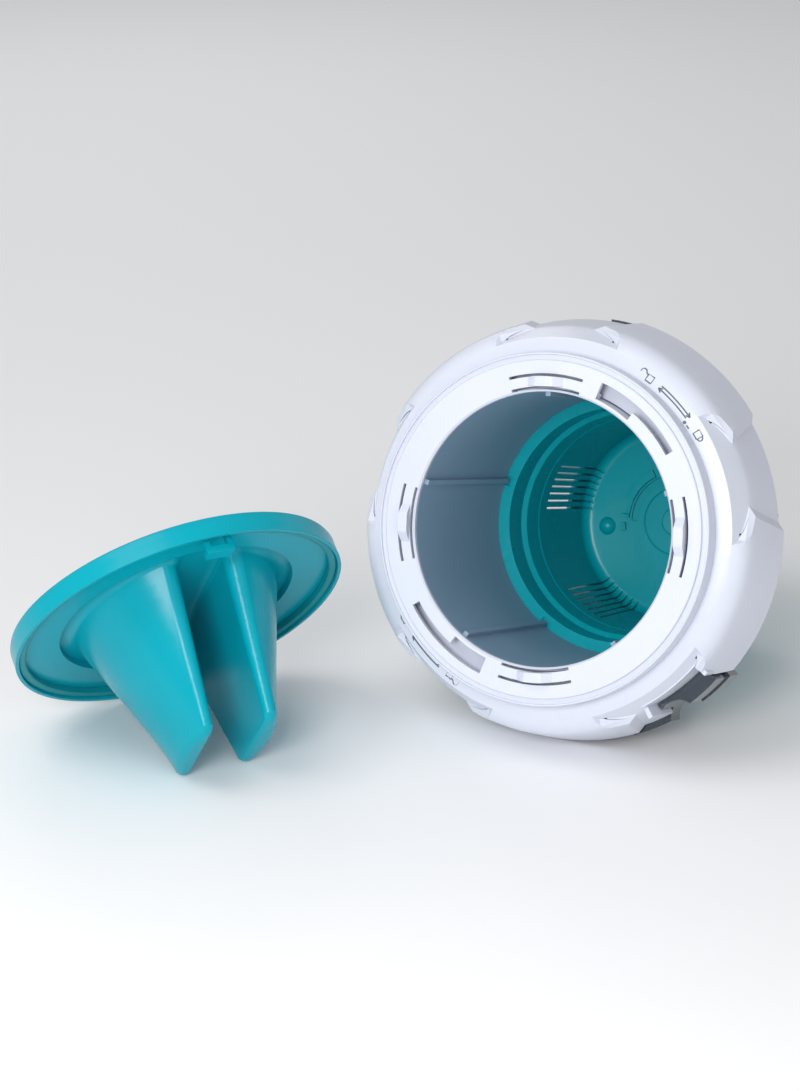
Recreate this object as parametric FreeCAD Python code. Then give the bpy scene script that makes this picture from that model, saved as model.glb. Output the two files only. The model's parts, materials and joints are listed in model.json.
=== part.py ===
"""Floating pool chlorine dispenser, lying open on a table with its twist-lock lid beside it.

Millimetres. The float is drawn upright in its own frame: +Z runs out of the mouth along the
chamber's axis and z = 0 is the face of the lock ring, so everything inside has a negative z.
The lid is drawn in its own frame: +Z runs out of its top and z = 0 is the edge of its skirt.
Both are then laid down on the table, which is z = 0 in the finished model.
"""
import FreeCAD, Part
import math
import os

V = FreeCAD.Vector
Z = V(0, 0, 1)

# Driving dimensions
MOUTH_R = 58.0                    # chamber mouth, takes 76 mm tablets
RING_FACE_R = 71.3                # flat face of the lock ring
RING_R = 74.5                     # outside of the lock ring
SEAT_R = 73.6                     # outer wall of the groove that takes the lid's skirt
RING_PLATE = 2.4
RING_H = 9.0                      # the ring face stands this far above the shoulder
SEAT_DEPTH = 1.4                  # groove that the lid's skirt sits in
SHELL_WALL = 2.2
EDGE_R = 88.2                     # front edge of the float
EDGE_Z = -19.6
SEAM_R = 92.5                     # rim of the white shell, its widest part
SEAM_Z = -44.5
SEAM_GAP = 1.6                    # thickness of the shell seal
BOWL_R = 89.6                     # rim of the smoke bowl, inside the white rim
BOWL_WALL = 2.4
LUG_R = 92.9                      # cord lug of the smoke bowl
TOP_LUG_R = 91.0
SCOOP_R = 9.0                     # scoop that the cord runs through, in the cord lug
SCOOP_OUT = 3.0                   # the scoop's centre is this far outside the lug
KEEL_R = 66.0
KEEL_Z = -81.0
RECESS_DEPTH = 2.4
TUBE_WALL = 2.0
TUBE_TOP = -2.7
TUBE_END = -93.7
TUBE_TOP_R = 59.1                 # thinned top of the tube, inside the ring's sleeve
RIB_H = 1.9
RIB_W = 2.2
BASKET_FLOOR = -171.7             # inside face of the basket's floor
BASKET_WALL = 2.0
FLOOR_R = 41.6
SLOT_TOP = -127.6
SLOT_W = 1.0
SLOT_PITCH = 4.1                  # degrees
SLOTS_PER_GROUP = 7
DIAL_CLEAR = 0.4
DIAL_WALL = 1.8
DIAL_RIM = -159.5
DIAL_LOW = -177.4
DIAL_ROUND = 8.4                  # rounding of the dial's edge that meets the table
SHUTTER_TOP = -124.0
SHUTTER_SPAN = 33.0               # degrees
PIVOT_R = 4.0
LID_R = 73.3
LID_H = 9.5
LID_PLATE = 2.0
LID_DISC_R = 52.5                 # raised middle of the lid, a pit seen from below
LID_SHELF = 4.35                  # underside of the shelf round the pit, above the skirt's edge
FIN_TOP_S = 49.0                  # half length of a grip pocket along the grip, at the plate
FIN_TOP_W = 46.5                  # half width of the pair of pockets, at the plate
FIN_END_S = 34.5
FIN_END_W = 20.5
FIN_DEPTH = 63.2                  # from the skirt's edge to the pockets' ends
GRIP_HALF_TOP = 10.4              # half width of the grip between the pockets
GRIP_HALF_END = 11.6
FIN_ROUND = 2.9                   # rounding of the pockets' ends
FIN_TOP_ROUND = 5.5               # rounding of the pockets' corners at the plate
FIN_FLARE = 3.6                   # fillet between the pockets and the plate
FIN_WALL = 1.8
HOOK_SPAN = 10.6                  # degrees

# Places round the axis, in degrees from +X towards the upper side
FIVE_FOLD = [24.5 + 72.0 * k for k in range(5)]
SPRING_ARMS = [6.5 + 90.0 * k for k in range(4)]
LOCK_ENTRY = 58.5                 # where the wide part of a bayonet slot starts
NOTCH_AT = FIVE_FOLD[4] + 4.5     # cord notch, inside the fifth recess

# How the two halves of the pair lie on the table
LID_TURN = 53.2                   # turn of the lid about the vertical
LID_FROM_MOUTH = (-141.8, -58.1)  # lid centre from the mouth's centre, along X and Y


def polar(r, deg, z=0.0):
    return V(r * math.cos(math.radians(deg)), r * math.sin(math.radians(deg)), z)


def revolve(points, deg=360.0, start=0.0):
    """Turn a closed outline of (r, z) points about the Z axis, starting at an angle."""
    wire = Part.makePolygon([V(r, 0, z) for r, z in points + points[:1]])
    solid = Part.Face(wire).revolve(V(0, 0, 0), Z, deg)
    solid.rotate(V(0, 0, 0), Z, start)
    return solid


def sector(r_in, r_out, z_low, z_high, middle, span):
    """Block between two radii and two heights over an angle."""
    outline = [(r_in, z_low), (r_out, z_low), (r_out, z_high), (r_in, z_high)]
    return revolve(outline, span, middle - span / 2)


def turned(shape, deg):
    copy = shape.copy()
    copy.rotate(V(0, 0, 0), Z, deg)
    return copy


def arc_points(centre, radius, start, end, count=9):
    """Points (r, z) along an arc given by two angles in the r-z plane."""
    steps = [start + (end - start) * k / (count - 1) for k in range(count)]
    return [(centre[0] + radius * math.cos(math.radians(s)),
             centre[1] + radius * math.sin(math.radians(s))) for s in steps]


def o_ring(radius, section, z):
    return Part.makeTorus(radius, section / 2, V(0, 0, z), Z)


# ---------------------------------------------------------------- float

def lock_ring():
    """Mouth ring with the lid's seat, four spring arms and two bayonet slots."""
    foot = -RING_H + 0.1
    sleeve_r = TUBE_TOP_R + 0.1
    guide_r = MOUTH_R + 4.2
    ring = revolve([
        (MOUTH_R, -0.8), (MOUTH_R + 0.8, 0), (RING_FACE_R - 0.3, 0), (RING_FACE_R, -0.3),
        (RING_FACE_R, -SEAT_DEPTH), (SEAT_R, -SEAT_DEPTH), (SEAT_R, -0.5), (SEAT_R + 0.2, -0.2),
        (RING_R - 0.3, -0.2), (RING_R, -0.5), (RING_R, foot), (RING_R - 1.9, foot),
        (RING_R - 1.9, -RING_PLATE - 0.8), (SEAT_R - 3.6, -RING_PLATE), (guide_r, -RING_PLATE),
        (guide_r, -5.6), (MOUTH_R + 2.0, -5.6), (MOUTH_R + 2.0, foot), (sleeve_r, foot),
        (sleeve_r, -RING_PLATE), (MOUTH_R, -RING_PLATE)])
    cuts = []
    for middle in SPRING_ARMS:
        for r in (59.5, 65.0):
            cuts.append(sector(r - 0.6, r + 0.6, -6.0, 1.0, middle, 29.6))
    for side in (0, 180):
        entry = LOCK_ENTRY + side
        cuts.append(sector(60.0, 67.3, -6.0, 1.0, entry + 8.0, 16.0))
        cuts.append(sector(63.8, 67.3, -RING_PLATE - 0.1, 1.0, entry - 10.0, 21.0))
        # Under the plate the hook's foot needs a free channel from the entry to its locked place.
        cuts.append(sector(60.4, 67.3, -RING_H, -RING_PLATE, entry - 2.2, 36.4))
    ring = ring.cut(Part.Compound(cuts))
    humps = [turned(spring_hump(), middle) for middle in SPRING_ARMS]
    return ring.fuse(humps).removeSplitter()


def spring_hump():
    """Raised bump in the middle of a spring arm, on the +X axis."""
    half = 8.0
    rise = 3.4
    top = 3.2
    base = -RING_PLATE / 2
    outline = Part.makePolygon([V(60.1, -half, base), V(60.1, half, base), V(60.1, half, 0.0),
                                V(60.1, top + 1.2, rise - 0.5), V(60.1, top, rise),
                                V(60.1, -top, rise), V(60.1, -top - 1.2, rise - 0.5),
                                V(60.1, -half, 0.0), V(60.1, -half, base)])
    ridge = Part.Face(outline).extrude(V(5.0, 0, 0))
    return ridge.common(sector(60.1, 64.4, -RING_PLATE, rise + 1, 0, 40))


def shoulder_outline(r_shift, z_shift):
    """Shoulder of the float from the lock ring out to the front edge, as (r, z) points."""
    flat_end = (RING_R + 3.0, -RING_H - 0.4)
    rise = flat_end[1] - EDGE_Z
    run = EDGE_R - flat_end[0]
    points = [(flat_end[0] + run * math.sin(math.radians(t)),
               EDGE_Z + rise * math.cos(math.radians(t * 0.96))) for t in (0, 18, 36, 54, 72, 90)]
    return [(r + r_shift, z + z_shift) for r, z in points]


def recess_window(middle):
    """Wedge that a recess is cut with. Its sides slant outwards and upwards, so that the recess
    fades out along its ends and over the shoulder."""
    sections = []
    for z, spread in ((SEAM_Z - 10.0, 0.0), (EDGE_Z, 0.0), (-16.5, 5.0), (-13.0, 9.5), (-5.0, 13.0)):
        half = [(50, 8.5 + spread), (86.0, 9.0 + spread), (92.9, 16.4 + spread), (110, 17.0 + spread)]
        outline = [polar(r, middle - a, z) for r, a in half]
        outline += [polar(r, middle + a, z) for r, a in reversed(half)]
        sections.append(Part.makePolygon(outline + outline[:1]))
    return Part.makeLoft(sections, True, True)


def upper_float_shell():
    """White upper half of the float, with five recesses and the cord notch."""
    collar_r = MOUTH_R + TUBE_WALL + 0.4
    outer = [(collar_r, -RING_H)] + [(RING_R, -RING_H)] + shoulder_outline(0, 0)
    outer += [(EDGE_R + 0.9, EDGE_Z - 3.0), (SEAM_R, SEAM_Z)]
    lip_top = SEAM_Z + SHELL_WALL
    inner = [(SEAM_R - 5.3, SEAM_Z), (SEAM_R - 5.3, lip_top), (SEAM_R - SHELL_WALL - 0.3, lip_top)]
    inner += [(EDGE_R + 0.9 - SHELL_WALL, EDGE_Z - 3.0)]
    inner += list(reversed(shoulder_outline(-SHELL_WALL * 0.8, -SHELL_WALL * 0.8)))
    inner += [(collar_r + 2, -RING_H - SHELL_WALL), (collar_r + 2, -18.2), (collar_r, -18.2)]
    shell = revolve(outer + inner)
    # Each recess steps the side wall in; a thick band behind it keeps the shell closed.
    wall_top = (EDGE_R + 0.9, EDGE_Z - 3.0)
    facet_r = EDGE_R - 7.0
    band = [(SEAM_R - SHELL_WALL - RECESS_DEPTH, SEAM_Z), (SEAM_R - 1.0, SEAM_Z),
            (wall_top[0] - 1.0, wall_top[1]), (EDGE_R - 1.2, EDGE_Z), (facet_r, -10.8),
            (facet_r - 2.5, -10.8), (facet_r - 2.5, -12.2), (EDGE_R - 5.2, EDGE_Z - 1.2),
            (wall_top[0] - SHELL_WALL - RECESS_DEPTH, wall_top[1])]
    recess = revolve([(SEAM_R + 5, SEAM_Z - 1), (SEAM_R - RECESS_DEPTH, SEAM_Z - 1),
                      (SEAM_R - RECESS_DEPTH, SEAM_Z), (wall_top[0] - RECESS_DEPTH, wall_top[1]),
                      (EDGE_R - RECESS_DEPTH, EDGE_Z), (facet_r, -9.9), (facet_r, -5.0),
                      (SEAM_R + 5, -5.0)])
    for middle in FIVE_FOLD:
        shell = shell.fuse(revolve(band, 33.0, middle - 16.5))
        shell = shell.cut(recess.common(recess_window(middle)))
    notch = sector(84.7, 110, SEAM_Z - 1, -5, NOTCH_AT, 19.0)
    back = sector(82.6, 84.7, SEAM_Z, -16.0, NOTCH_AT, 20.5)
    side = sector(82.6, SEAM_R - 2.6, SEAM_Z, -19.0, NOTCH_AT - 9.9, 1.3)
    other = sector(82.6, SEAM_R - 2.6, SEAM_Z, -19.0, NOTCH_AT + 9.9, 1.3)
    shell = shell.cut(notch).fuse([back, side, other])
    return shell.removeSplitter()


def shell_seal():
    """Flat rubber ring pinched between the two float shells."""
    low = SEAM_Z - SEAM_GAP
    ring = revolve([(BOWL_R - 2.1, low), (BOWL_R - 0.3, low), (BOWL_R - 0.3, SEAM_Z),
                    (BOWL_R - 2.1, SEAM_Z)])
    return ring.cut(sector(84.0, 110, -60, 0, NOTCH_AT, 22.0))


def bowl_side(inset, top):
    """Side of the bowl from its rim to the keel, bulging a little, as (r, z) points."""
    first = (BOWL_R - inset, top)
    last = (KEEL_R - inset * 0.6, KEEL_Z + inset)
    along = (last[0] - first[0], last[1] - first[1])
    points = [first]
    for q in (0.2, 0.4, 0.6, 0.8, 1.0):
        bulge = 0.04 * 4 * q * (1 - q)
        points.append((first[0] + along[0] * q - along[1] * bulge,
                       first[1] + along[1] * q + along[0] * bulge))
    return points


def lower_float_shell():
    """Smoke-tinted lower half of the float: a bowl round the chamber tube with two rim lugs."""
    top = SEAM_Z - SEAM_GAP
    collar_r = MOUTH_R + TUBE_WALL + 0.4
    outer = bowl_side(0, top)
    inside = bowl_side(BOWL_WALL, top)
    outer += [(collar_r, KEEL_Z)]
    inner = [(collar_r, KEEL_Z + 8.0), (collar_r + 2.0, KEEL_Z + 8.0)]
    inner += [(collar_r + 2.0, KEEL_Z + BOWL_WALL)] + list(reversed(inside))
    bowl = revolve(outer + inner)
    lug_at = NOTCH_AT - 6.5
    lugs = [sector(83.0, LUG_R, top - 11.0, top, lug_at, 32.0),
            sector(85.0, LUG_R - 0.6, top - 1.0, -31.0, NOTCH_AT, 17.4),
            sector(83.0, TOP_LUG_R, top - 9.0, top, FIVE_FOLD[1] - 12.0, 10.0)]
    bowl = bowl.fuse(lugs)
    # Scoop in the cord lug, walled on the inside.
    scoop_at = polar(LUG_R + SCOOP_OUT, NOTCH_AT - 6.0, KEEL_Z - 5)
    scoop = Part.makeCylinder(SCOOP_R, 80, scoop_at, Z)
    liner = Part.makeCylinder(SCOOP_R + 2.0, 80, scoop_at, Z)
    filled = revolve(outer + [(collar_r, top)])
    bowl = bowl.fuse(liner.common(filled)).cut(scoop)
    return bowl.removeSplitter()


def chamber_tube():
    """Frosted tablet chamber with five guide ribs and a sealing flange."""
    out_r = MOUTH_R + TUBE_WALL
    tube = revolve([(MOUTH_R, TUBE_TOP), (TUBE_TOP_R, TUBE_TOP), (TUBE_TOP_R, -RING_H - 0.2),
                    (out_r, -RING_H - 0.2), (out_r, -21.0), (out_r + 3.4, -21.0),
                    (out_r + 3.4, -23.0), (out_r, -23.0), (out_r, TUBE_END), (MOUTH_R, TUBE_END)])
    ribs = []
    for middle in FIVE_FOLD:
        rib = Part.makeBox(RIB_H + 0.6, RIB_W, TUBE_TOP - TUBE_END - 0.6,
                           V(MOUTH_R - RIB_H, -RIB_W / 2, TUBE_END))
        ribs.append(turned(rib, middle))
    return tube.fuse(ribs).removeSplitter()


def basket_outline():
    """Inside and outside of the basket as two lists of (r, z) points from the lip down."""
    inside = [(52.8, TUBE_END), (52.4, -107.0), (50.2, -108.6), (49.2, -119.7),
              (48.8, -120.4), (46.4, -164.0)]
    inside += arc_points((FLOOR_R, -166.9), 4.8, 0, -90, 6)
    outside = [(54.8, TUBE_END - 2.0), (54.4, -108.0), (52.2, -109.8), (51.2, -120.4),
               (50.8, -121.2), (48.4, -164.0)]
    outside += arc_points((FLOOR_R, -166.9), 6.8, 0, -90, 6)
    return inside, outside


def basket():
    """Teal slotted cup under the chamber."""
    inside, outside = basket_outline()
    skirt_r = MOUTH_R + TUBE_WALL + 0.4
    top = [(skirt_r + 2.1, TUBE_END - 2.0), (skirt_r + 2.1, -84.0), (skirt_r, -84.0),
           (skirt_r, TUBE_END)]
    cup = revolve([(0, BASKET_FLOOR)] + list(reversed(inside)) + list(reversed(top))
                  + outside + [(0, BASKET_FLOOR - BASKET_WALL)])
    cuts = []
    for middle in FIVE_FOLD:
        for k in range(SLOTS_PER_GROUP):
            slot = Part.makeBox(14.0, SLOT_W, SLOT_TOP - BASKET_FLOOR + 1.0,
                                V(42.6, -SLOT_W / 2, BASKET_FLOOR - 1.0))
            cuts.append(turned(slot, middle + SLOT_PITCH * (k - (SLOTS_PER_GROUP - 1) / 2)))
        key = Part.makeBox(4.0, RIB_W + 2.0, 1.0, V(55.0, -RIB_W / 2 - 1.0, TUBE_END - 1.0))
        cuts.append(turned(key, middle))
    cuts += floor_grooves()
    cuts.append(Part.makeCylinder(PIVOT_R, 10, V(0, 0, BASKET_FLOOR - 5), Z))
    return cup.cut(Part.Compound(cuts)).fuse(floor_bosses()).removeSplitter()


def floor_grooves():
    """Shallow sunk marks in the basket's floor: the dial's arc track and the pivot seat."""
    z = BASKET_FLOOR
    return [sector(19.1, 22.3, z - 1.2, z + 1, 152.0, 71.0),
            revolve([(0, z - 0.7), (15.4, z - 0.7), (16.2, z + 0.1), (0, z + 0.1)])]


def floor_bosses():
    """Raised marks on the basket's floor: the stepped band, its end stops and a pip."""
    z = BASKET_FLOOR
    pip_at = polar(34.5, 192.5)
    pip = Part.makeSphere(4.6, V(pip_at.x, pip_at.y, z - 1.9))
    pip = pip.common(Part.makeBox(20, 20, 5, V(pip_at.x - 10, pip_at.y - 10, z - 0.5)))
    bands = [sector(23.2, 27.0, z - 0.5, z + 1.9, 144.0, 41.0),
             sector(23.2, 25.0, z - 0.5, z + 1.2, 172.0, 16.0),
             sector(23.2, 27.2, z - 0.5, z + 1.9, 182.2, 3.4),
             sector(25.0, 27.4, z - 0.5, z + 2.0, 194.0, 8.0),
             pip]
    return bands


def dial_pivot():
    """Headed pin through the basket's floor that the flow dial turns on."""
    head = BASKET_FLOOR - 0.7
    return revolve([(0, head + 1.3), (6.4, head + 1.3), (7.0, head + 0.7), (7.0, head),
                    (PIVOT_R, head), (PIVOT_R, -176.9), (0, -176.9)])


def pivot_washer():
    top = BASKET_FLOOR - BASKET_WALL
    return revolve([(PIVOT_R + 0.1, top - 0.35), (9.0, top - 0.35), (9.0, top), (PIVOT_R + 0.1, top)])


def pivot_clip():
    """Push-on clip that holds the flow dial on its pin."""
    return revolve([(PIVOT_R, -176.9), (9.0, -176.9), (9.0, -176.1), (PIVOT_R, -176.1)])


def flow_dial():
    """Cup that turns round the basket; its five shutters uncover or close the slots."""
    wall = DIAL_WALL
    gap = DIAL_CLEAR

    def side(z):
        """Outside radius of the basket's straight wall at a height."""
        return 50.8 + (48.4 - 50.8) * (z + 121.2) / (-164.0 + 121.2)

    floor_top = BASKET_FLOOR - BASKET_WALL - gap
    inside = [(side(DIAL_RIM) + gap, DIAL_RIM), (side(-164.0) + gap, -164.0)]
    inside += arc_points((FLOOR_R, -166.9), 6.8 + gap, 0, -90, 6)
    outside = [(side(DIAL_RIM) + gap + wall, DIAL_RIM), (side(-164.0) + gap + wall, -164.0)]
    outside += arc_points((FLOOR_R + 0.6, DIAL_LOW + DIAL_ROUND), DIAL_ROUND, 0, -90, 14)
    cup = revolve([(0, floor_top)] + list(reversed(inside)) + outside + [(0, DIAL_LOW)])
    skirt = revolve([(side(SHUTTER_TOP) + gap, SHUTTER_TOP),
                     (side(SHUTTER_TOP) + gap + wall, SHUTTER_TOP),
                     (side(DIAL_RIM) + gap + wall, DIAL_RIM), (side(DIAL_RIM) + gap, DIAL_RIM)])
    shutters = []
    grips = []
    for middle in FIVE_FOLD:
        window = sector(40, 60, DIAL_RIM - 1, SHUTTER_TOP + 1, middle + 36.0, SHUTTER_SPAN)
        shutters.append(skirt.common(window))
    for k in range(30):
        rib = Part.makeBox(2.0, 1.6, 7.0, V(side(DIAL_RIM) + gap + 0.5, -0.8, DIAL_RIM - 8.0))
        grips.append(turned(rib, 12.0 * k + 0.5))
    dial = cup.fuse(shutters + grips)
    bore = Part.makeCylinder(PIVOT_R + 0.06, 20, V(0, 0, -180), Z)
    seat = Part.makeCylinder(9.4, 5, V(0, 0, -175.9 - 5), Z)
    return dial.cut(bore).cut(seat).removeSplitter()


# ---------------------------------------------------------------- lid

def d_wire(long_half, wide_half, grip_half, corner, z):
    """Rounded D outline of one grip pocket: flat beside the grip, elliptical outside."""
    a = long_half - corner
    b = wide_half - corner
    g = grip_half + corner
    turn = math.asin(g / b)
    points = []
    for k in range(13):
        t = turn + (math.pi - 2 * turn) * k / 12
        slope = V(b * math.cos(t), a * math.sin(t), 0).normalize()
        points.append(V(b * math.sin(t), a * math.cos(t), z) + V(slope.y, slope.x, 0) * corner)
    outside = Part.BSplineCurve()
    outside.interpolate(points)
    y = a * math.cos(turn)
    first = points[0]
    last = points[-1]

    def corner_arc(start, end, middle_y, sign):
        mid = V(g, middle_y, z) + V(-1, sign, 0).normalize() * corner
        return Part.Arc(start, mid, end).toShape()

    flat_a = V(g - corner, y, z)
    flat_b = V(g - corner, -y, z)
    edges = [outside.toShape(), corner_arc(last, flat_b, -y, -1),
             Part.makeLine(flat_b, flat_a), corner_arc(flat_a, first, y, 1)]
    return Part.Wire(edges)


def grip_pocket(inset, top, end):
    """One tapered pocket body on the +X side of the grip, drawn down to a rounded end. Its
    outside flares into the plate; its corners are rounder at the plate than at the end."""
    plate_low = LID_H - LID_PLATE
    last_full = end - FIN_ROUND + inset

    def section(depth, grow, corner):
        share = (depth + plate_low) / (FIN_DEPTH + plate_low)
        s = FIN_TOP_S + (FIN_END_S - FIN_TOP_S) * share - inset + grow
        w = FIN_TOP_W + (FIN_END_W - FIN_TOP_W) * share - inset + grow
        g = GRIP_HALF_TOP + (GRIP_HALF_END - GRIP_HALF_TOP) * share + inset - grow
        return d_wire(s, w, g, corner, -depth)

    top_corner = FIN_TOP_ROUND - inset
    end_corner = FIN_ROUND - inset
    wires = [section(-top, 0 if inset else FIN_FLARE, top_corner)]
    if not inset:
        for angle in (0, 25, 50, 75, 90):
            grow = FIN_FLARE * (1 - math.sin(math.radians(angle)))
            depth = FIN_FLARE * (1 - math.cos(math.radians(angle))) - plate_low
            wires.append(section(depth, grow, top_corner))
    wires.append(section(last_full, 0, end_corner))
    for angle in (30, 55, 75):
        shrink = end_corner * (1 - math.cos(math.radians(angle)))
        depth = last_full + end_corner * math.sin(math.radians(angle))
        wires.append(section(depth, -shrink, max(end_corner - shrink, 0.35)))
    return Part.makeLoft(wires, True, True)


def bayonet_hook():
    """Hook under the lid, on the +Y axis: two legs and a foot that reaches inwards."""
    legs = [sector(64.3, 66.8, -4.2, LID_SHELF + 0.5, 90 + side * (HOOK_SPAN / 2 - 1.0), 2.0)
            for side in (-1, 1)]
    foot = sector(60.8, 66.8, -4.2, -1.1, 90, HOOK_SPAN)
    return legs + [foot]


def lid_cap():
    """One-piece lid: raised disc, shelf, skirt, two hollow grip pockets, two hooks and a tab."""
    low = LID_H - LID_PLATE
    inner_r = LID_R - 1.5
    shelf_top = LID_SHELF + LID_PLATE
    plate = revolve([(0, low), (LID_DISC_R, low), (LID_DISC_R, LID_SHELF), (inner_r, LID_SHELF),
                     (inner_r, 0), (LID_R, 0), (LID_R + 0.1, 0.6), (LID_R - 0.1, 1.6),
                     (LID_R, LID_H - 1.8), (LID_R - 0.5, LID_H - 0.6), (LID_R - 1.6, LID_H),
                     (LID_R - 3.4, LID_H), (LID_R - 3.8, shelf_top), (LID_DISC_R + 2.6, shelf_top),
                     (LID_DISC_R + 2.0, LID_H), (0, LID_H)])
    tab = sector(LID_R - 0.6, LID_R + 0.6, LID_H - 3.6, LID_H - 1.2, 90 - 15.7, 29.6)
    bodies = [tab]
    holes = []
    for side in (0, 180):
        bodies.append(turned(grip_pocket(0.0, LID_H - 0.6, FIN_DEPTH), side))
        holes.append(turned(grip_pocket(FIN_WALL, LID_H + 2.0, FIN_DEPTH - FIN_WALL), side))
        bodies += [turned(piece, side) for piece in bayonet_hook()]
    lid = plate.fuse(bodies)
    for hole in holes:
        lid = lid.cut(hole)
    return lid.removeSplitter()


def lid_seal_ring():
    """Soft ring in the corner between the lid's shelf and skirt, outside the hooks."""
    top = LID_SHELF - 0.05
    outer_r = LID_R - 1.55
    return revolve([(outer_r - 3.4, top), (outer_r, top), (outer_r, 1.6), (outer_r - 0.7, 1.2),
                    (outer_r - 2.7, 1.2), (outer_r - 3.4, 1.6)])


# ---------------------------------------------------------------- laying the pair down

def float_tip():
    """Degrees that the mouth is tipped up when the white rim and the dial's edge are both down."""
    across = SEAM_R - (FLOOR_R + 0.6)
    along = SEAM_Z - (DIAL_LOW + DIAL_ROUND)
    rounding = math.asin(DIAL_ROUND / math.hypot(across, along))
    return math.degrees(math.atan2(across, along) - rounding)


def float_placement():
    """Turns the float's axis down so that the mouth looks along -Y, tipped up a little."""
    return FreeCAD.Placement(V(0, 0, 0), FreeCAD.Rotation(V(1, 0, 0), 90 - float_tip()))


def lid_rest_tilt():
    """Tilt at which the skirt's edge and the ends of both pockets touch the table."""
    wide = FIN_END_W - FIN_ROUND
    grip = GRIP_HALF_END + FIN_ROUND
    reach = (FIN_END_S - FIN_ROUND) * math.sqrt(1 - (grip / wide) ** 2)
    drop = FIN_DEPTH - FIN_ROUND
    across = LID_R - reach
    return math.degrees(math.atan2(drop, across) + math.asin(FIN_ROUND / math.hypot(drop, across)))


def lid_placement():
    """Leans the lid on its skirt and pocket ends, then turns it about the vertical."""
    lean = FreeCAD.Rotation(V(1, 0, 0), -lid_rest_tilt())
    turn = FreeCAD.Rotation(Z, LID_TURN)
    return FreeCAD.Placement(V(LID_FROM_MOUTH[0], LID_FROM_MOUTH[1], 0), turn * lean)


def moved(shape, placement):
    copy = shape.copy()
    copy.Placement = placement
    return copy


def lowest(shapes):
    return min(shape.optimalBoundingBox(False).ZMin for shape in shapes)


def main():
    os.makedirs("parts", exist_ok=True)
    seal_r = MOUTH_R + TUBE_WALL + 1.5
    float_parts = {
        "lock_ring": lock_ring(),
        "upper_float_shell": upper_float_shell(),
        "shell_seal": shell_seal(),
        "lower_float_shell": lower_float_shell(),
        "chamber_tube": chamber_tube(),
        "tube_upper_seal": o_ring(seal_r, 2.7, -19.6),
        "tube_lower_seal": o_ring(seal_r, 2.7, -82.5),
        "basket": basket(),
        "dial_pivot": dial_pivot(),
        "pivot_washer": pivot_washer(),
        "pivot_clip": pivot_clip(),
        "flow_dial": flow_dial(),
    }
    lid_parts = {"lid_cap": lid_cap(), "lid_seal_ring": lid_seal_ring()}

    placed = {name: moved(s, float_placement()) for name, s in float_parts.items()}
    float_drop = lowest([placed["upper_float_shell"], placed["flow_dial"]])
    lid_down = {name: moved(s, lid_placement()) for name, s in lid_parts.items()}
    lid_drop = lowest([lid_down["lid_cap"]])
    for shape in placed.values():
        shape.translate(V(0, 0, -float_drop))
    for shape in lid_down.values():
        shape.translate(V(0, 0, -lid_drop))
    placed.update(lid_down)

    whole = Part.Compound(list(placed.values())).optimalBoundingBox(False)
    to_origin = V(-(whole.XMin + whole.XMax) / 2, -(whole.YMin + whole.YMax) / 2, 0)
    for name, shape in placed.items():
        shape.translate(to_origin)
        shape.exportStep(os.path.join("parts", name + ".step"))
        state = "valid" if shape.isValid() else "NOT VALID"
        print(name, state, len(shape.Solids), "solid", round(shape.Volume, 1), "mm3")
    print("mouth centre", to_origin.x, to_origin.y, -float_drop)
    print("float axis", tuple(float_placement().Rotation.multVec(Z)), "tip", float_tip())
    lid_at = lid_placement().Base + to_origin + V(0, 0, -lid_drop)
    lid_axis = lid_placement().Rotation.multVec(Z)
    print("lid centre", tuple(lid_at), "lid axis", tuple(lid_axis), "tilt", lid_rest_tilt())
    print("box", whole.XLength, whole.YLength, whole.ZMax)
    for name in ("upper_float_shell", "flow_dial"):
        print(name, "lowest", placed[name].optimalBoundingBox(False).ZMin)


main()
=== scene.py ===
"""Looks of the floating chlorine dispenser, laid out as an add-on and run as a script.

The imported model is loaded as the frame. Its nodes keep their shapes and get smooth shading and
moulded-plastic finishes; the printed lock marks are added on top.
Lengths are in metres. A place on the float is given in the float's own frame: +Z out of the
mouth, z = 0 at the lock ring's face, angles from +X towards the upper side.
"""
import json
import math

import bpy
import numpy as np
from mathutils import Matrix, Vector


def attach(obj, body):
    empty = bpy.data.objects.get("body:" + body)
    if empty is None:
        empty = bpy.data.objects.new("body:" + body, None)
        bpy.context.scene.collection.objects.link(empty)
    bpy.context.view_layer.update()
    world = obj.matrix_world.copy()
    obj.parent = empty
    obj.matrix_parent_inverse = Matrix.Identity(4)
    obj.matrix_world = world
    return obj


bl_info = {
    "name": "Chlorine Dispenser Looks",
    "version": (1, 0, 0),
    "blender": (4, 5, 0),
    "location": "View3D > Sidebar > Dispenser",
    "description": "Finishes, printed marks and stage for a floating chlorine dispenser",
    "category": "Object",
}

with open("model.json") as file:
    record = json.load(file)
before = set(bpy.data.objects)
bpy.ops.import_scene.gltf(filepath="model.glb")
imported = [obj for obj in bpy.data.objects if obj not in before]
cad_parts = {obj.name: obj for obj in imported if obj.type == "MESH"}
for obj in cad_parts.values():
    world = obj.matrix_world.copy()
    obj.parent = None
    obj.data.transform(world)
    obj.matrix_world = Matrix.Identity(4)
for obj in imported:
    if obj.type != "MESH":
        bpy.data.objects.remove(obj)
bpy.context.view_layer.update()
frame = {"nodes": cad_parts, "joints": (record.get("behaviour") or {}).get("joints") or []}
DIAL_JOINT = next(j for j in frame["joints"] if j["name"] == "flow_dial_turn")

MM = 0.001
FLOAT_AXIS = np.array(DIAL_JOINT["axis"], float)
DIAL_POINT = np.array(DIAL_JOINT["pos_m"], float)
DIAL_DEPTH = 0.170                        # depth of the dial joint's point below the ring face
MOUTH = DIAL_POINT + FLOAT_AXIS * DIAL_DEPTH
SIDEWAYS = np.array([1.0, 0.0, 0.0])
UPWARDS = np.cross(FLOAT_AXIS, SIDEWAYS)
FLOAT_FRAME = np.column_stack([SIDEWAYS, UPWARDS, FLOAT_AXIS])

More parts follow.
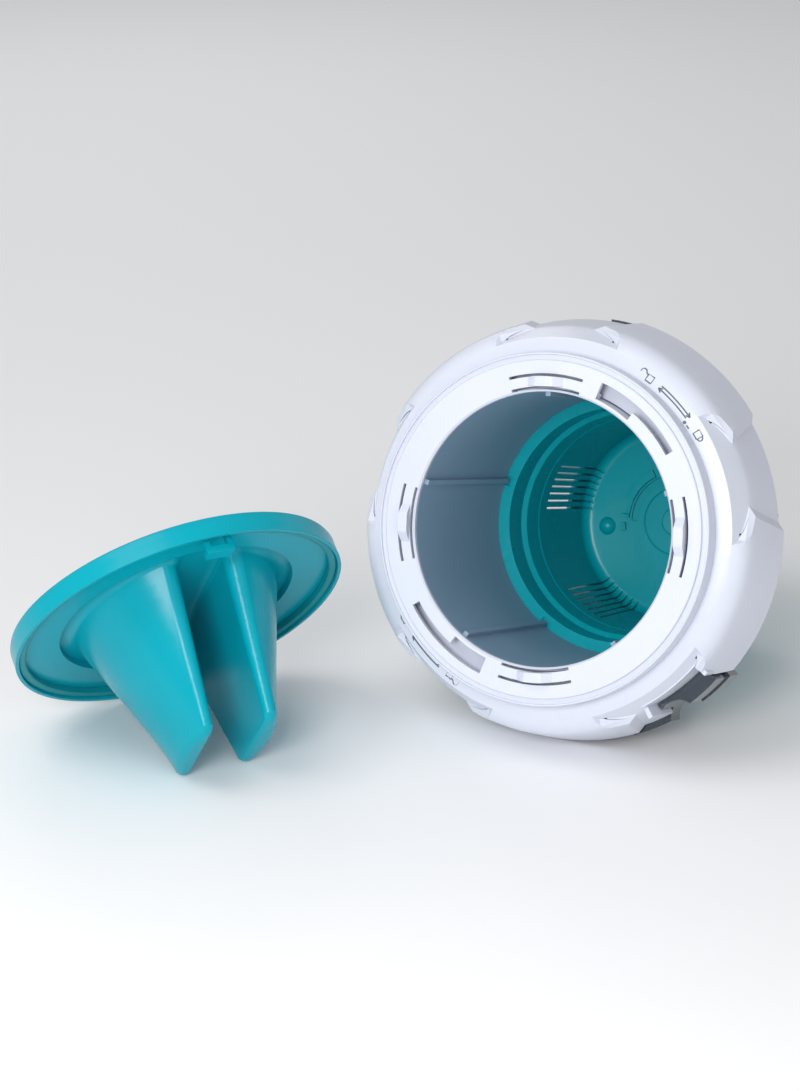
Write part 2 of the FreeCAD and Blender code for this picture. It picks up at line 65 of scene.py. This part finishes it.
CAMERA_FROM_MOUTH = Vector((0.4608, -1.0775, 0.4657))
CAMERA_LOOK = Vector((-0.4068, 0.8331, -0.3746))
CAMERA_RIGHT = math.radians(26.03)        # turn of the camera's right side from +X
MOUTH_LIGHT_FROM_MOUTH = Vector((0.10, -0.90, 0.38))
SMOOTH_BELOW = math.radians(24)           # edges sharper than this stay crisp
FILM_ROOT = -0.05                         # millimetres that the printed film reaches inwards

# Shoulder of the float as (radius, height) in millimetres, from the ring out to the front edge
RING_R = 74.5
SHOULDER_START = (RING_R + 3.0, -9.4)
SHOULDER_END = (88.2, -19.6)
TURNS = np.radians([0, 18, 36, 54, 72, 90])
SHOULDER = np.concatenate([[(RING_R, -9.0)], np.stack([
    SHOULDER_START[0] + (SHOULDER_END[0] - SHOULDER_START[0]) * np.sin(TURNS),
    SHOULDER_END[1] + (SHOULDER_START[1] - SHOULDER_END[1]) * np.cos(TURNS * 0.96)], -1)])


# ---------------------------------------------------------------- sizes and colours

class FinishSettings(bpy.types.PropertyGroup):
    """Colours and roughness of the plastics."""
    white: bpy.props.FloatVectorProperty(
        name="White plastic", description="Colour of the upper float shell and the lock ring",
        subtype="COLOR", size=3, min=0, max=1, default=(0.66, 0.69, 0.785))
    teal: bpy.props.FloatVectorProperty(
        name="Teal plastic", description="Colour of the lid and the flow dial",
        subtype="COLOR", size=3, min=0, max=1, default=(0.0006, 0.345, 0.435))
    deep_teal: bpy.props.FloatVectorProperty(
        name="Deep teal plastic", description="Colour of the basket",
        subtype="COLOR", size=3, min=0, max=1, default=(0.0006, 0.37, 0.43))
    # The tube's blue-grey is partly the plastic's own tint and partly painted shade, standing in
    # for the dark inside of the float seen through the translucent wall.
    frosted_with_shade: bpy.props.FloatVectorProperty(
        name="Frosted plastic", description="Colour of the chamber tube",
        subtype="COLOR", size=3, min=0, max=1, default=(0.36, 0.50, 0.66))
    smoke: bpy.props.FloatVectorProperty(
        name="Smoke plastic", description="Tint of the lower float shell",
        subtype="COLOR", size=3, min=0, max=1, default=(0.085, 0.105, 0.135))
    gloss: bpy.props.FloatProperty(
        name="Roughness", description="Roughness of the glossy mouldings",
        subtype="FACTOR", min=0.02, max=1, default=0.27)


class MarkSettings(bpy.types.PropertyGroup):
    """Printed lock marks on the shoulder."""
    line: bpy.props.FloatProperty(
        name="Line width", description="Width of the printed lines",
        unit="LENGTH", min=0.0001, max=0.002, default=0.00062)
    film: bpy.props.FloatProperty(
        name="Film thickness", description="Thickness of the printed film",
        unit="LENGTH", min=0.00002, max=0.0005, default=0.00007)


class StageSettings(bpy.types.PropertyGroup):
    """Floor, lights and camera."""
    lens: bpy.props.FloatProperty(
        name="Lens", description="Focal length in millimetres",
        subtype="DISTANCE_CAMERA", min=20, max=300, default=99.0)
    floor: bpy.props.FloatProperty(
        name="Floor size", description="Half the width of the floor",
        unit="LENGTH", min=1, max=20, default=6.0)
    key: bpy.props.FloatProperty(
        name="Key light", description="Power of the large overhead light in watts",
        min=0, max=500, default=6.5)
    world: bpy.props.FloatProperty(
        name="Surround", description="Strength of the even light all round",
        min=0, max=5, default=0.45)


# ---------------------------------------------------------------- meshes

def in_row(points):
    """Float-frame points in millimetres to the row frame in metres."""
    return MOUTH + (np.asarray(points, float) * MM) @ FLOAT_FRAME.T


def on_shoulder(radius, degrees, lift=0.0):
    """Points on the shoulder: its height is read off the profile at each radius."""
    angle = np.radians(degrees)
    height = np.interp(radius, SHOULDER[:, 0], SHOULDER[:, 1]) + lift
    return np.stack([radius * np.cos(angle), radius * np.sin(angle), height], -1)


def add_piece(name, vertices, faces, body, material):
    """A mesh piece at the origin that rides on a body."""
    mesh = bpy.data.meshes.new(name)
    mesh.from_pydata(np.asarray(vertices, float).tolist(), [], faces)
    mesh.update()
    piece = bpy.data.objects.new(name, mesh)
    bpy.context.scene.collection.objects.link(piece)
    piece.data.materials.append(material)
    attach(piece, body)
    return piece


def strip_faces(count, first):
    """Quads of a bar with a rectangular section, its two ends closed."""
    starts = np.arange(count - 1)[:, None, None] * 4 + first
    sides = np.array([[0, 1, 5, 4], [1, 2, 6, 5], [2, 3, 7, 6], [3, 0, 4, 7]])
    quads = (starts + sides).reshape(-1, 4)
    last = first + (count - 1) * 4
    ends = [[first + 3, first + 2, first + 1, first], [last, last + 1, last + 2, last + 3]]
    return np.concatenate([quads, ends]).tolist()


def printed_lines(strokes, width, film):
    """Printed strokes on the shoulder.

    Each stroke is a path of (radius mm, degrees). The bar over it is the path offset by half
    the line's width to each side in the shoulder's surface, once below and once above it.
    """
    vertices = []
    faces = []
    count = 0
    for stroke in strokes:
        path = np.array(stroke, float)
        flat = np.stack([path[:, 0] * np.radians(path[:, 1]), path[:, 0]], -1)
        along = np.gradient(flat, axis=0)
        along /= np.linalg.norm(along, axis=1, keepdims=True) + 1e-12
        across = np.stack([-along[:, 1], along[:, 0]], -1) * width / 2
        corners = []
        for side, lift in ((-1, FILM_ROOT), (1, FILM_ROOT), (1, film), (-1, film)):
            radius = path[:, 0] + side * across[:, 1]
            degrees = path[:, 1] + np.degrees(side * across[:, 0] / path[:, 0])
            corners.append(in_row(on_shoulder(radius, degrees, lift)))
        faces += strip_faces(len(path), count)
        count += 4 * len(path)
        vertices.append(np.stack(corners, 1).reshape(-1, 3))
    return np.concatenate(vertices), faces


def mark_strokes(turn):
    """The lock marks: an open padlock, two arrows, a star with a dash and a closed padlock."""
    def place(points, radius, degrees):
        """Marks drawn in millimetres, first along the rim and then outwards."""
        points = np.array(points, float)
        return [(radius + v, degrees + turn + math.degrees(u / radius)) for u, v in points]

    def arc(centre, size, start, end, count=9):
        angle = np.radians(np.linspace(start, end, count))
        return list(zip(centre[0] + size * np.cos(angle), centre[1] + size * np.sin(angle)))

    strokes = []
    half = 1.5
    box = [(-half, -half), (half, -half), (half, half), (-half, half), (-half, -half)]
    # closed padlock: the shackle starts and ends on the body
    strokes.append(place(box, 77.4, 39.6))
    strokes.append(place([(-half, -1.1)] + arc((-half - 0.3, 0), 1.1, 270, 90) + [(-half, 1.1)],
                         77.4, 39.6))
    # open padlock: the shackle stands off to one side and hooks back
    strokes.append(place(box, 77.6, 63.0))
    strokes.append(place([(half, 0.9), (2.4, 1.3)] + arc((3.9, 1.1), 1.3, 170, -20),
                         77.6, 63.0))
    # two parallel arrows, one to each mark
    for radius, tip, tail in ((78.4, 45.4, 58.6), (76.9, 59.0, 46.0)):
        step = 1.1 if tail > tip else -1.1
        strokes.append([(radius, degrees + turn) for degrees in np.linspace(tip, tail, 12)])
        for side in (-1, 1):
            strokes.append([(radius, tip + turn), (radius + 0.95 * side, tip + turn + step * 1.2)])
    for spoke in (0, 60, 120):
        u, v = 0.75 * math.cos(math.radians(spoke)), 0.75 * math.sin(math.radians(spoke))
        strokes.append(place([(-u, -v), (u, v)], 75.4, 45.2))
    strokes.append(place([(-0.9, 0), (0.9, 0)], 75.4, 43.4))
    return strokes


# ---------------------------------------------------------------- finishes

def smooth_by_angle():
    """Node group that shades faces smooth and keeps edges sharper than 24 degrees crisp."""
    group = bpy.data.node_groups.new("smooth_mouldings", "GeometryNodeTree")
    group.interface.new_socket("Geometry", in_out="INPUT", socket_type="NodeSocketGeometry")
    group.interface.new_socket("Geometry", in_out="OUTPUT", socket_type="NodeSocketGeometry")
    n, link = group.nodes, group.links
    start = n.new("NodeGroupInput")
    drop = n.new("GeometryNodeRemoveAttribute")
    drop.inputs["Name"].default_value = "custom_normal"
    faces = n.new("GeometryNodeSetShadeSmooth")
    faces.inputs["Shade Smooth"].default_value = True
    angle = n.new("GeometryNodeInputMeshEdgeAngle")
    test = n.new("ShaderNodeMath")
    test.operation = "GREATER_THAN"
    test.inputs[1].default_value = SMOOTH_BELOW
    edges = n.new("GeometryNodeSetShadeSmooth")
    edges.domain = "EDGE"
    edges.inputs["Shade Smooth"].default_value = False
    end = n.new("NodeGroupOutput")
    link.new(start.outputs[0], drop.inputs["Geometry"])
    link.new(drop.outputs[0], faces.inputs["Geometry"])
    link.new(faces.outputs[0], edges.inputs["Geometry"])
    link.new(angle.outputs["Unsigned Angle"], test.inputs[0])
    link.new(test.outputs[0], edges.inputs["Selection"])
    link.new(edges.outputs[0], end.inputs[0])
    return group


def moulded(name, colour, roughness, mottle=0.04, grain=0.02, transmission=0.0,
            subsurface=0.0, coat=0.0, edge=0.0003, shine=0.5):
    """Injection-moulded plastic on object coordinates: faint flow mottling in the colour,
    fine surface ripple in the bump, uneven gloss and rounded edges."""
    material = bpy.data.materials.new(name)
    material.use_nodes = True
    n, link = material.node_tree.nodes, material.node_tree.links
    n.clear()
    out = n.new("ShaderNodeOutputMaterial")
    shader = n.new("ShaderNodeBsdfPrincipled")
    place = n.new("ShaderNodeTexCoord")
    flow = n.new("ShaderNodeTexNoise")
    flow.inputs["Scale"].default_value = 22.0
    flow.inputs["Detail"].default_value = 3.0
    ramp = n.new("ShaderNodeValToRGB")
    ramp.color_ramp.elements[0].position = 0.3
    ramp.color_ramp.elements[1].position = 0.7
    ramp.color_ramp.elements[0].color = [c * (1 - mottle) for c in colour] + [1]
    ramp.color_ramp.elements[1].color = [min(1, c * (1 + mottle)) for c in colour] + [1]
    gloss = n.new("ShaderNodeMapRange")
    gloss.inputs["To Min"].default_value = roughness * 0.82
    gloss.inputs["To Max"].default_value = roughness * 1.18
    ripple = n.new("ShaderNodeTexNoise")
    ripple.inputs["Scale"].default_value = 900.0
    ripple.inputs["Detail"].default_value = 2.0
    bump = n.new("ShaderNodeBump")
    bump.inputs["Strength"].default_value = 0.5
    bump.inputs["Distance"].default_value = grain * MM
    soft = n.new("ShaderNodeBevel")
    soft.samples = 4
    soft.inputs["Radius"].default_value = edge
    for texture in (flow, ripple):
        link.new(place.outputs["Object"], texture.inputs["Vector"])
    link.new(flow.outputs["Fac"], ramp.inputs["Fac"])
    link.new(ramp.outputs["Color"], shader.inputs["Base Color"])
    link.new(flow.outputs["Fac"], gloss.inputs["Value"])
    link.new(gloss.outputs["Result"], shader.inputs["Roughness"])
    link.new(ripple.outputs["Fac"], bump.inputs["Height"])
    link.new(soft.outputs["Normal"], bump.inputs["Normal"])
    link.new(bump.outputs["Normal"], shader.inputs["Normal"])
    shader.inputs["IOR"].default_value = 1.49
    shader.inputs["Specular IOR Level"].default_value = shine
    shader.inputs["Transmission Weight"].default_value = transmission
    shader.inputs["Subsurface Weight"].default_value = subsurface
    shader.inputs["Subsurface Scale"].default_value = 0.002
    shader.inputs["Coat Weight"].default_value = coat
    shader.inputs["Coat Roughness"].default_value = 0.12
    link.new(shader.outputs["BSDF"], out.inputs["Surface"])
    return material


def finish_node(name, material, group):
    """Gives a CAD node its finish and smooth shading."""
    node = frame["nodes"][name]
    weld = node.modifiers.new("join_seams", "WELD")
    weld.merge_threshold = 1e-6
    shade = node.modifiers.new("shade", "NODES")
    shade.node_group = group
    weigh = node.modifiers.new("weigh_normals", "WEIGHTED_NORMAL")
    weigh.keep_sharp = True
    weigh.weight = 80
    if not node.data.materials:
        node.data.materials.append(material)
    for slot in node.material_slots:
        slot.material = material


def shared_group():
    return bpy.data.node_groups.get("smooth_mouldings") or smooth_by_angle()


class DISPENSER_OT_float_shells(bpy.types.Operator):
    """Satin white and glossy smoke finishes of the float's shells and lock ring"""
    bl_idname = "dispenser.float_shells"
    bl_label = "Float shells"

    def execute(self, context):
        look = context.scene.dispenser_finish
        group = shared_group()
        white = moulded("white_shell", look.white, look.gloss * 1.25, 0.012, 0.03, subsurface=0.06)
        ring = moulded("white_ring", look.white, look.gloss * 1.4, 0.012, 0.03, subsurface=0.10)
        smoke = moulded("smoke_shell", look.smoke, 0.10, 0.06, 0.01, transmission=0.55, coat=0.6)
        finish_node("upper_float_shell", white, group)
        finish_node("lock_ring", ring, group)
        finish_node("lower_float_shell", smoke, group)
        return {"FINISHED"}


class DISPENSER_OT_chamber(bpy.types.Operator):
    """Frosted finish of the chamber tube and the deep teal basket under it"""
    bl_idname = "dispenser.chamber"
    bl_label = "Chamber and basket"

    def execute(self, context):
        look = context.scene.dispenser_finish
        group = shared_group()
        # Base colour partly painted shade: its blue-grey stands in for the dark float inside seen
        # through the tube.
        frosted_with_shade = moulded("frosted_tube", look.frosted_with_shade, 0.42, 0.03, 0.04, transmission=0.30,
                          subsurface=0.15)
        deep = moulded("deep_teal", look.deep_teal, look.gloss, 0.04, 0.02, shine=0.3)
        finish_node("chamber_tube", frosted_with_shade, group)
        finish_node("basket", deep, group)
        return {"FINISHED"}


class DISPENSER_OT_dial(bpy.types.Operator):
    """Finishes of the flow dial and what it turns on"""
    bl_idname = "dispenser.dial"
    bl_label = "Flow dial and pivot"

    def execute(self, context):
        look = context.scene.dispenser_finish
        group = shared_group()
        finish_node("flow_dial", moulded("dial_teal", look.teal, look.gloss), group)
        finish_node("dial_pivot", moulded("pivot_teal", look.deep_teal, look.gloss), group)
        finish_node("pivot_washer", moulded("washer_nylon", (0.75, 0.75, 0.71), 0.5), group)
        steel = moulded("clip_steel", (0.55, 0.56, 0.57), 0.3, 0.08, 0.02)
        steel.node_tree.nodes["Principled BSDF"].inputs["Metallic"].default_value = 1.0
        finish_node("pivot_clip", steel, group)
        return {"FINISHED"}


class DISPENSER_OT_seals(bpy.types.Operator):
    """Dull rubber of the seals"""
    bl_idname = "dispenser.seals"
    bl_label = "Seals"

    def execute(self, context):
        look = context.scene.dispenser_finish
        group = shared_group()
        rubber = moulded("black_rubber", (0.022, 0.022, 0.024), 0.62, 0.12, 0.05)
        for name in ("shell_seal", "tube_upper_seal", "tube_lower_seal"):
            finish_node(name, rubber, group)
        soft = [c * 0.7 for c in look.deep_teal]
        finish_node("lid_seal_ring", moulded("lid_seal", soft, 0.5, 0.06, 0.04), group)
        return {"FINISHED"}


class DISPENSER_OT_lid(bpy.types.Operator):
    """Glossy teal finish of the lid"""
    bl_idname = "dispenser.lid"
    bl_label = "Lid"

    def execute(self, context):
        look = context.scene.dispenser_finish
        teal = moulded("lid_teal", look.teal, look.gloss * 0.9, 0.035, 0.03, subsurface=0.04,
                       shine=0.22)
        finish_node("lid_cap", teal, shared_group())
        return {"FINISHED"}


class DISPENSER_OT_marks(bpy.types.Operator):
    """Grey printed lock marks on the shoulder, twice round"""
    bl_idname = "dispenser.marks"
    bl_label = "Lock marks"

    def execute(self, context):
        look = context.scene.dispenser_marks
        ink = moulded("grey_print", (0.10, 0.12, 0.15), 0.5, 0.08, 0.01, edge=0.00005)
        for turn, name in ((0, "lock_marks_upper"), (180, "lock_marks_lower")):
            vertices, faces = printed_lines(mark_strokes(turn), look.line / MM, look.film / MM)
            add_piece(name, vertices, faces, "float", ink)
        return {"FINISHED"}


class DISPENSER_OT_stage(bpy.types.Operator):
    """Pale floor, soft lights and camera"""
    bl_idname = "dispenser.stage"
    bl_label = "Stage"

    def execute(self, context):
        look = context.scene.dispenser_stage
        mesh = bpy.data.meshes.new("floor")
        reach = look.floor
        mesh.from_pydata([(-reach, -reach, 0), (reach, -reach, 0), (reach, reach, 0),
                          (-reach, reach, 0)], [], [(0, 1, 2, 3)])
        floor = bpy.data.objects.new("floor", mesh)
        context.scene.collection.objects.link(floor)
        floor.data.materials.append(moulded("pale_floor", (0.93, 0.93, 0.94), 0.8, 0.0, 0.0))

        world = bpy.data.worlds.new("surround")
        world.use_nodes = True
        back = world.node_tree.nodes["Background"]
        back.inputs["Color"].default_value = (0.97, 0.98, 1.0, 1)
        back.inputs["Strength"].default_value = look.world
        context.scene.world = world

        def soft_light(name, power, size, place, aim=(0.0, 0.0, 0.06)):
            light = bpy.data.lights.new(name, "AREA")
            light.energy = power
            light.size = size
            lamp = bpy.data.objects.new(name, light)
            context.scene.collection.objects.link(lamp)
            lamp.location = place
            lamp.rotation_euler = (Vector(aim) - Vector(place)).to_track_quat("-Z", "Y").to_euler()

        soft_light("key_light", look.key, 0.9, (-0.5, -0.7, 1.4))
        soft_light("fill_light", look.key * 0.35, 0.8, (1.2, -0.9, 0.7))
        soft_light("back_light", look.key * 0.4, 0.7, (-0.9, 1.1, 0.9))
        mouth_light = Vector(MOUTH) + MOUTH_LIGHT_FROM_MOUTH
        soft_light("mouth_light", look.key * 0.85, 0.35, mouth_light, MOUTH)

        context.scene.view_settings.view_transform = "Standard"

        camera = bpy.data.cameras.new("camera")
        camera.lens = look.lens
        camera.sensor_width = 36.0
        camera.clip_end = 50
        holder = bpy.data.objects.new("camera", camera)
        context.scene.collection.objects.link(holder)
        right = Vector((math.cos(CAMERA_RIGHT), math.sin(CAMERA_RIGHT), 0))
        up = right.cross(CAMERA_LOOK)
        turn = Matrix((right, up, -CAMERA_LOOK)).transposed().to_4x4()
        holder.matrix_world = Matrix.Translation(Vector(MOUTH) + CAMERA_FROM_MOUTH) @ turn
        context.scene.camera = holder
        return {"FINISHED"}


class DISPENSER_PT_panel(bpy.types.Panel):
    """Settings and pieces of the dispenser"""
    bl_label = "Chlorine dispenser"
    bl_idname = "DISPENSER_PT_panel"
    bl_space_type = "VIEW_3D"
    bl_region_type = "UI"
    bl_category = "Dispenser"

    def draw(self, context):
        for settings in ("dispenser_finish", "dispenser_marks", "dispenser_stage"):
            group = getattr(context.scene, settings)
            for name in group.bl_rna.properties.keys():
                if name not in ("rna_type", "name"):
                    self.layout.prop(group, name)
        for operator in OPERATORS:
            self.layout.operator(operator.bl_idname)


SETTINGS = {"dispenser_finish": FinishSettings, "dispenser_marks": MarkSettings,
            "dispenser_stage": StageSettings}
OPERATORS = (DISPENSER_OT_stage, DISPENSER_OT_float_shells, DISPENSER_OT_chamber,
             DISPENSER_OT_dial, DISPENSER_OT_seals, DISPENSER_OT_lid, DISPENSER_OT_marks)
CLASSES = tuple(SETTINGS.values()) + OPERATORS + (DISPENSER_PT_panel,)


def register():
    for made in CLASSES:
        bpy.utils.register_class(made)
    for name, group in SETTINGS.items():
        setattr(bpy.types.Scene, name, bpy.props.PointerProperty(type=group))


def unregister():
    for name in SETTINGS:
        delattr(bpy.types.Scene, name)
    for made in reversed(CLASSES):
        bpy.utils.unregister_class(made)


def main():
    register()
    for operator in OPERATORS:
        group, name = operator.bl_idname.split(".")
        getattr(getattr(bpy.ops, group), name)()


if __name__ == "__main__":
    main()
